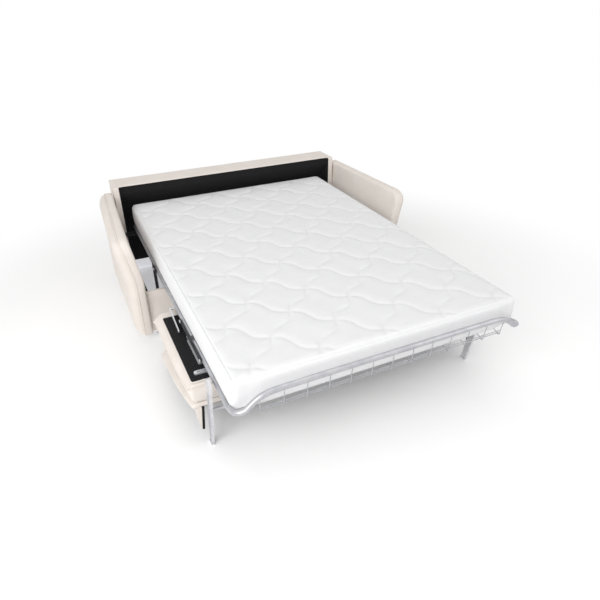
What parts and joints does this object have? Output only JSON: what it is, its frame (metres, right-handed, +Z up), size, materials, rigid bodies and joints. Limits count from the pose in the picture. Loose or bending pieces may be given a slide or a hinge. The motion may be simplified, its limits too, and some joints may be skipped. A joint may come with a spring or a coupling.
{
  "type": "sleeper sofa",
  "caption": "Sleeper sofa with its bed unfolded: a low upholstered shell with flared arms, a folding tube and wire bed grid, a mattress, and the seat and backrest hung beneath.",
  "frame": {"origin": "on the floor, under the middle of the whole object with the bed pulled out", "axes": "+X to the right as seen from the foot of the bed, +Y from the foot of the bed towards the sofa's back, +Z up"},
  "size_m": [1.8586, 2.2366, 0.693],
  "materials": {
    "cream_fabric": "soft woven upholstery, cream",
    "black_lining": "black lining with a small diamond grain",
    "mattress_ticking": "white knitted ticking, quilted",
    "silver_paint": "silver grey powder coat",
    "zinc_steel": "zinc plated",
    "black_steel": "black powder coat",
    "plywood": "covered plywood",
    "cover_cloth": "light grey cover cloth",
    "black_plastic": "moulded, matte"
  },
  "bodies": {
    "sofa_frame": {"back_panel": "cream_fabric", "back_liner": "black_lining", "back_wing_left": "cream_fabric", "back_wing_right": "cream_fabric", "side_board_left": "plywood", "side_board_right": "plywood", "side_liner_left": "black_lining", "side_liner_right": "black_lining", "front_rail": "cream_fabric", "dust_cover": "cover_cloth", "foot_front_left": "black_plastic", "foot_front_right": "black_plastic", "foot_rear_left": "black_plastic", "foot_rear_right": "black_plastic", "arm_panel_left": "cream_fabric", "arm_panel_right": "cream_fabric", "arm_pad_left": "cream_fabric", "arm_pad_right": "cream_fabric", "pivot_bracket_left": "black_steel", "pivot_bracket_right": "black_steel", "lift_pin_left": "zinc_steel", "lift_pin_right": "zinc_steel", "head_rest_left": "black_steel", "head_rest_right": "black_steel", "head_grid": "silver_paint", "mattress_head": "mattress_ticking"},
    "middle_section": {"middle_grid": "silver_paint", "mattress_middle": "mattress_ticking", "mattress_head_fold": "mattress_ticking", "seat_cushion": "cream_fabric", "seat_board": "black_lining", "seat_tie_bar": "zinc_steel", "seat_hanger_left": "zinc_steel", "seat_hanger_right": "zinc_steel", "seat_brace_left": "zinc_steel", "seat_brace_right": "zinc_steel", "fold_pin_rear_left": "zinc_steel", "fold_pin_rear_right": "zinc_steel", "backrest_hinge_rod": "zinc_steel"},
    "backrest": {"backrest_cushion": "cream_fabric", "backrest_board": "black_lining", "backrest_tab_left": "cream_fabric", "backrest_tab_right": "cream_fabric"},
    "fold_link": {"fold_link_left": "black_steel", "fold_link_right": "black_steel", "mattress_foot_fold": "mattress_ticking"},
    "foot_section": {"foot_grid": "silver_paint", "mattress_foot": "mattress_ticking", "fold_pin_front_left": "zinc_steel", "fold_pin_front_right": "zinc_steel", "leg_pin_left": "zinc_steel", "leg_pin_right": "zinc_steel"},
    "front_legs": {"leg_left": "zinc_steel", "leg_right": "zinc_steel", "leg_tie_tube": "silver_paint", "leg_glide_left": "zinc_steel", "leg_glide_right": "zinc_steel"}
  },
  "joints": [
    {"name": "bed_lift", "type": "hinge", "parent": "sofa_frame", "child": "middle_section", "pos_m": [0, 0.25926, 0.398], "axis": [-1, 0, 0], "range_deg": [0, 90], "deforming": ["mattress_head_fold"]},
    {"name": "fold_link_swing", "type": "hinge", "parent": "middle_section", "child": "fold_link", "pos_m": [0, -0.35074, 0.398], "axis": [-1, 0, 0], "range_deg": [0, 90], "deforming": ["mattress_foot_fold"]},
    {"name": "foot_section_turn", "type": "hinge", "parent": "fold_link", "child": "foot_section", "pos_m": [0, -0.70074, 0.398], "axis": [-1, 0, 0], "range_deg": [0, 90]},
    {"name": "leg_fold", "type": "hinge", "parent": "foot_section", "child": "front_legs", "pos_m": [0, -0.86774, 0.398], "axis": [1, 0, 0], "range_deg": [0, 75]},
    {"name": "backrest_fold", "type": "hinge", "parent": "middle_section", "child": "backrest", "pos_m": [0, -0.76374, 0.23526], "axis": [-1, 0, 0], "range_deg": [0, 45]}
  ],
  "couplings": [
    {"joint": "foot_section_turn", "follows": "fold_link_swing", "ratio": 1},
    {"joint": "leg_fold", "follows": "fold_link_swing", "ratio": 0.8333},
    {"joint": "backrest_fold", "follows": "bed_lift", "ratio": 0.5}
  ]
}
